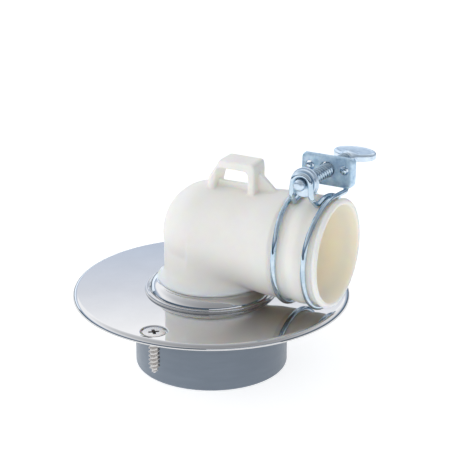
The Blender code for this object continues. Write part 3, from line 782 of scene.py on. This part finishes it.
def make_elbow_seal():
    steps = 20
    radius = 0.0009
    centre_r = 0.0193
    centre_z = PLATE_TOP - 0.0090
    outline = []
    for i in range(steps):
        turn = 2 * math.pi * i / steps
        r = centre_r + radius * math.cos(turn)
        z = centre_z + radius * math.sin(turn)
        outline.append(Vector((r, z)))
    points, faces = turned(outline, 128)
    add_mesh("seal_ring", points, faces, RUBBER, "seal", "elbow_seal")


# ------------------------------------------------------------------ hose clamp

WIRE_END_X = 0.0078
WIRE_END_Z = 0.0322
THREAD_BACK = -0.0296


def rounded_corner(before, corner, after, radius, count):
    """Arc points that replace the corner of a path through three points."""
    back = (before - corner).normalized()
    onward = (after - corner).normalized()
    half = back.angle(onward) / 2
    centre = corner + (back + onward).normalized() * (radius / math.sin(half))
    start = corner + back * (radius / math.tan(half)) - centre
    end = corner + onward * (radius / math.tan(half)) - centre
    turn_axis = start.cross(end).normalized()
    side = turn_axis.cross(start)
    sweep = math.pi - 2 * half
    angles = [sweep * i / count for i in range(count + 1)]
    return [centre + start * math.cos(a) + side * math.sin(a) for a in angles]


def on_loop(angle):
    """Centre of the wire at an angle in degrees round the outlet, in the clamp's frame. Its
    offset from the clamp's middle shrinks from the start to the back and on to the end."""
    start, back, end = 7.9, 6.75, 5.1
    leaving = float(ease((angle - 110) / 60))
    returning = float(ease((angle - 320) / 90))
    offset = start * MM + (back - start) * MM * leaving + (end - back) * MM * returning
    turn = math.radians(angle)
    return Vector((offset, WIRE_LOOP_RADIUS * math.cos(turn), WIRE_LOOP_RADIUS * math.sin(turn)))


def wire_half():
    """Centre line of half the wire, from its end in the bracket to the top of the hook, and the
    index at which the hook begins. The loop runs from its first to its last angle in degrees."""
    clearance = 0.0003
    hook = BOSS_RADIUS + clearance + WIRE_RADIUS
    front = -(DISC_FRONT + clearance + WIRE_RADIUS)
    end = Vector((WIRE_END_X, 0.0102, WIRE_END_Z))
    behind = Vector((WIRE_END_X, 0.0145, WIRE_END_Z))
    under = Vector((0.0079, 0.0145, 0.0226))
    first, last = 88, 458
    climb = on_loop(470)
    knee = Vector((hook + 0.0005, front, 0.0262))
    hook_start = Vector((hook, front, FEED_HEIGHT))
    path = [end + Vector((0, y, 0)) for y in (0, 0.00015, 0.0004, 0.0008, 0.00105, 0.0012)]
    path += rounded_corner(end, behind, under, 0.0017, 10)
    path += rounded_corner(behind, under, on_loop(first), 0.0017, 10)
    path += [on_loop(angle) for angle in range(first, last + 1, 2)]
    path += rounded_corner(on_loop(last), climb, knee, 0.0014, 12)
    cut = len(path) + 1
    path += rounded_corner(climb, knee, hook_start, 0.0030, 6)
    for degrees in range(0, 91, 6):
        turn = math.radians(degrees)
        path.append(Vector((hook * math.cos(turn), front, FEED_HEIGHT + hook * math.sin(turn))))
    return path, cut


def swept(path, radii, sides=18):
    """Round tube along a path, with its section carried along without twist."""
    points = []
    faces = []
    count = len(path)
    tangents = []
    for i in range(count):
        tangents.append((path[min(i + 1, count - 1)] - path[max(i - 1, 0)]).normalized())
    across = tangents[0].orthogonal().normalized()
    for i, (centre, tangent) in enumerate(zip(path, tangents)):
        across = (across - tangent * across.dot(tangent)).normalized()
        other = tangent.cross(across)
        for k in range(sides):
            turn = 2 * math.pi * k / sides
            points.append(centre + (across * math.cos(turn) + other * math.sin(turn)) * radii[i])
    for i in range(count - 1):
        for k in range(sides):
            after = (k + 1) % sides
            base = i * sides
            faces.append((base + k, base + after, base + sides + after, base + sides + k))
    for first, centre in ((0, path[0]), ((count - 1) * sides, path[-1])):
        points.append(centre)
        tip = len(points) - 1
        faces += [(first + k, first + (k + 1) % sides, tip) for k in range(sides)]
    return points, faces


def make_clamp_wire():
    """Both loops ride the clamp, with peened heads on their ends. The hook between them runs from
    the loops round the bush's boss and rides no body."""
    half, cut = wire_half()
    mirror = [Vector((-p.x, p.y, p.z)) for p in reversed(half[:-1])]
    head = [1.10, 1.28, 1.35, 1.33, 1.15]
    for side, name in ((1, "right"), (-1, "left")):
        path = [CLAMP_FRAME @ Vector((side * p.x, p.y, p.z)) for p in half[: cut + 1]]
        radii = [WIRE_RADIUS * (head[i] if i < len(head) else 1.0) for i in range(len(path))]
        points, faces = swept(path, radii)
        add_mesh(f"clamp_loop_{name}", points, faces, ZINC_WIRE, "clamp", "clamp_wire")
    path = [CLAMP_FRAME @ p for p in half[cut:] + mirror[: len(mirror) - cut]]
    points, faces = swept(path, [WIRE_RADIUS] * len(path))
    hook = add_mesh("clamp_hook", points, faces, ZINC_WIRE, None, "clamp_wire")
    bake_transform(hook)


def bracket_field(x, y, z):
    """The bracket, in the clamp's frame: a sheet web with its sides folded back, a thickened
    seat for the screw and holes for the screw and the wire's ends."""
    sheet = 1.2 * MM
    back = 15.0 * MM
    front = 11.4 * MM
    middle = 31.0 * MM
    half_x = 11.75 * MM
    half_z = 6.7 * MM
    u = np.abs(x)
    corner = 2.8 * MM
    du = u - (half_x - corner)
    dv = np.abs(z - middle) - (half_z - corner)
    plate = box_distance(du, dv) - corner
    outer = smooth_max(plate, front - y, 1.5 * MM)
    inner = smooth_max(u - half_x + sheet, front + sheet - y, 0.8 * MM)
    fold = smooth_max(np.maximum(outer, y - back), -inner, 0.15 * MM)
    from_feed = np.hypot(x, z - FEED_HEIGHT)
    nut = smooth_max(from_feed - 4.5 * MM, np.abs(y - 13.2 * MM) - 1.5 * MM, 0.3 * MM)
    solid = smooth_min(fold, nut, 0.3 * MM)
    hole = from_feed - 3.3 * MM
    wire_hole = np.hypot(u - WIRE_END_X, z - WIRE_END_Z) - 1.9 * MM
    return smooth_max(solid, -np.minimum(hole, wire_hole), 0.25 * MM)


def make_bracket():
    step = 0.2 * MM
    low = (-12.6 * MM, 10.6 * MM, 23.4 * MM)
    high = (12.6 * MM, 15.8 * MM, 38.6 * MM)
    points, faces = surface_of(bracket_field, low, high, step)
    points = placed(points, CLAMP_FRAME)
    add_mesh("bracket_channel", points, faces, ZINC_SHEET, "clamp", "clamp_bracket")


def make_bush():
    """The bush that the screw turns in: a domed boss, a grooved disc and a rear collar."""
    corners = [
        (0.0, 0.0160, 0),
        (BOSS_RADIUS, 0.0160, 0.0016),
        (BOSS_RADIUS, DISC_FRONT, 0.0002),
        (0.00570, DISC_FRONT, 0.0004),
        (0.00575, 0.0101, 0.0003),
        (0.0052, 0.0097, 0.0002),
        (0.00615, 0.0094, 0.0002),
        (0.00615, 0.0084, 0.0003),
        (0.0044, 0.0084, 0.0002),
        (0.0044, 0.0066, 0.0003),
        (BOSS_RADIUS, 0.0066, 0.0003),
        (BOSS_RADIUS, 0.0109, 0.0002),
        (0.0, 0.0109, 0),
    ]
    points, faces = turned(rounded(corners, 5, closed=False), 96, closed=False, matrix=FEED_FRAME)
    add_mesh("bush_turned", points, faces, ZINC_CAST, "bush", "thrust_bush")


def thumbscrew_field(x, y, z):
    """The thumbscrew along the feed axis: point, coarse thread, neck and flat oval thumb piece."""
    pitch = 2.0 * MM
    root = 2.30 * MM
    point_back = 6.3 * MM
    r = np.hypot(x, y)
    turn = np.arctan2(y, x) / (2 * math.pi)
    phase = np.mod(z / pitch - turn, 1.0)
    tooth = np.clip(1.55 - np.abs(phase - 0.5) * 4.6, 0, 1)
    run_in = ease((point_back - 0.2 * MM - z) / (1.0 * MM))
    run_out = ease((z + 29.5 * MM) / (1.0 * MM))
    radius = root + 0.70 * MM * tooth * run_in * run_out
    thread = np.maximum((r - radius) * 0.7, np.maximum(z - point_back, -31.5 * MM - z))
    point = smooth_max(r - 2.2 * MM, z - 10.6 * MM, 0.3 * MM)
    point = np.maximum(point, 5 * MM - z)
    taper = np.clip((z + 37 * MM) / (5 * MM), 0, 1)
    neck = smooth_max((r - 1.9 * MM - 0.9 * MM * taper) * 0.95, z + 30.2 * MM, 0.6 * MM)
    neck = smooth_max(neck, -36 * MM - z, 0.6 * MM)
    half_thickness = 1.65 * MM
    oval = ellipse_distance((x, z + 39.0 * MM), (9.5 * MM, 7.0 * MM))
    panel = 0.12 * MM * ease((-1.4 * MM - oval) / (0.8 * MM))
    rounding = 1.15 * MM
    du = oval + rounding
    dv = np.abs(y) - (half_thickness - panel) + rounding
    blade = box_distance(du, dv) - rounding
    solid = smooth_min(np.minimum(thread, point), neck, 0.15 * MM)
    return smooth_min(solid, blade, 2.6 * MM)


def make_thumbscrew():
    """The thumbscrew, in darker metal from its point to the end of its thread."""
    step = 0.15 * MM
    low = (-10.2 * MM, -4.2 * MM, -46.8 * MM)
    high = (10.2 * MM, 4.2 * MM, 11.2 * MM)
    points, faces = surface_of(thumbscrew_field, low, high, step)
    points = placed(points, FEED_FRAME)
    piece = add_mesh(
        "thumbscrew_turned", points, faces, ZINC_CAST, "thumbscrew", "thumbscrew"
    )
    piece.data.materials.append(ZINC_THREAD)
    to_feed = FEED_FRAME.inverted()
    for face in piece.data.polygons:
        if (to_feed @ face.center).z > THREAD_BACK:
            face.material_index = 1


# ------------------------------------------------------------------ studio

LIGHT_TARGET = Vector((0.01, 0.0, 0.045))


def add_stage(name, points, faces, material):
    mesh = bpy.data.meshes.new(name)
    mesh.from_pydata([tuple(p) for p in points], [], faces)
    mesh.materials.append(material)
    piece = linked(name, mesh)
    return piece


def make_floor():
    """A pale, softly lit table."""
    material, tree, shader = new_material("table_pale")
    colour = ramp(tree, noise(tree, 8, 3), (0.3, (0.60, 0.60, 0.60)), (0.7, (0.62, 0.62, 0.62)))
    tree.links.new(colour, shader.inputs["Base Color"])
    shader.inputs["Roughness"].default_value = 0.9
    shader.inputs["Specular IOR Level"].default_value = 0.0
    shader.inputs["Emission Color"].default_value = (1, 1, 1, 1)
    shader.inputs["Emission Strength"].default_value = 0.68
    half = 6.0
    corners = [(-half, -half, 0), (half, -half, 0), (half, half, 0), (-half, half, 0)]
    add_stage("table", corners, [(0, 1, 2, 3)], material)


def make_backdrop():
    """Pale walls round the table. They only fill the view, and neither light nor reflect."""
    material, _, shader = new_material("backdrop_white")
    shader.inputs["Base Color"].default_value = (0, 0, 0, 1)
    shader.inputs["Specular IOR Level"].default_value = 0.0
    shader.inputs["Emission Color"].default_value = (1, 1, 1, 1)
    shader.inputs["Emission Strength"].default_value = 1.0
    radius, height = 5.9, 9.0
    points, faces = turned([Vector((radius, 0)), Vector((radius, height))], 64, closed=False)
    backdrop = add_stage("backdrop", points, faces, material)
    backdrop.visible_diffuse = False
    backdrop.visible_glossy = False
    backdrop.visible_transmission = False
    backdrop.visible_shadow = False


def make_world():
    """Soft studio surroundings: a dim horizon, then a step up to a bright sky at the height that
    the plate mirrors, softer overhead. All of it is brighter behind the object."""
    world = bpy.data.worlds.new("studio")
    bpy.context.scene.world = world
    world.use_nodes = True
    tree = world.node_tree
    background = tree.nodes["Background"]
    place = node(tree, "ShaderNodeTexCoord")
    parts = node(tree, "ShaderNodeSeparateXYZ")
    tree.links.new(place.outputs["Generated"], parts.inputs[0])
    by_height = (
        (0.00, (0.05, 0.08, 0.12)),
        (0.12, (0.12, 0.19, 0.27)),
        (0.24, (0.34, 0.44, 0.58)),
        (0.365, (0.72, 0.82, 1.00)),
        (0.392, (0.96, 1.00, 1.10)),
        (0.415, (1.34, 1.35, 1.38)),
        (0.55, (1.30, 1.31, 1.35)),
        (0.75, (0.90, 0.92, 0.96)),
        (1.00, (0.75, 0.77, 0.81)),
    )
    base = ramp(tree, parts.outputs["Z"], *by_height)
    bright_side = (-0.80, 0.60, 0.0)
    facing = node(tree, "ShaderNodeVectorMath", operation="DOT_PRODUCT")
    facing.inputs[1].default_value = bright_side
    tree.links.new(place.outputs["Generated"], facing.inputs[0])
    strength = map_range(tree, facing.outputs["Value"], (-0.8, 0.7), (0.38, 1.0))
    tree.links.new(base, background.inputs["Color"])
    tree.links.new(strength, background.inputs["Strength"])


def make_light(name, place, size, power, colour=(1, 1, 1)):
    """A rectangular light of a width and height, in watts, aimed at the elbow."""
    light = bpy.data.lights.new(name, "AREA")
    light.shape = "RECTANGLE"
    light.size, light.size_y = size
    light.energy = power
    light.color = colour
    lamp = linked(name, light)
    lamp.location = place
    aim = LIGHT_TARGET - Vector(place)
    lamp.rotation_euler = aim.to_track_quat("-Z", "Y").to_euler()
    return lamp


def make_camera():
    """The photograph's camera, fitted to the outlines of the plate, adapter, collar and outlet."""
    lens = bpy.data.cameras.new("camera")
    camera = linked("camera", lens)
    right = Vector((0.88360, 0.46824, 0.0))
    up = Vector((-0.16704, 0.31521, 0.93420))
    back = Vector((0.43743, -0.82547, 0.35674))
    place = Vector((0.315663, -0.583093, 0.315690))
    rows = [(right[i], up[i], back[i], place[i]) for i in range(3)]
    camera.matrix_world = Matrix((*rows, (0, 0, 0, 1)))
    lens.sensor_width = 36
    lens.lens = 133.02
    lens.clip_start = 0.01
    lens.clip_end = 50
    bpy.context.scene.camera = camera


make_camera()
make_world()
make_floor()
make_backdrop()
for softbox in (
    make_light("softbox_left", (-1.1, -0.5, 0.6), (0.7, 0.9), 3.5),
    make_light("softbox_front", (0.25, -1.2, 0.75), (0.9, 0.5), 2.9, (0.94, 0.97, 1.0)),
):
    softbox.visible_glossy = False
for panel in (
    make_light("panel_back", (-1.1, 0.9, 0.33), (1.5, 0.30), 1.4, (0.90, 0.95, 1.0)),
    make_light("panel_right", (1.15, -0.85, 0.20), (1.6, 0.22), 1.2, (0.93, 0.95, 1.0)),
):
    panel.visible_camera = False
bpy.context.scene.view_settings.view_transform = "Standard"

make_floor_plate()
make_plate_gasket()
make_collar()
make_pipe_adapter()
make_floor_screws()
make_elbow()
make_elbow_seal()
make_clamp_wire()
make_bracket()
make_bush()
make_thumbscrew()
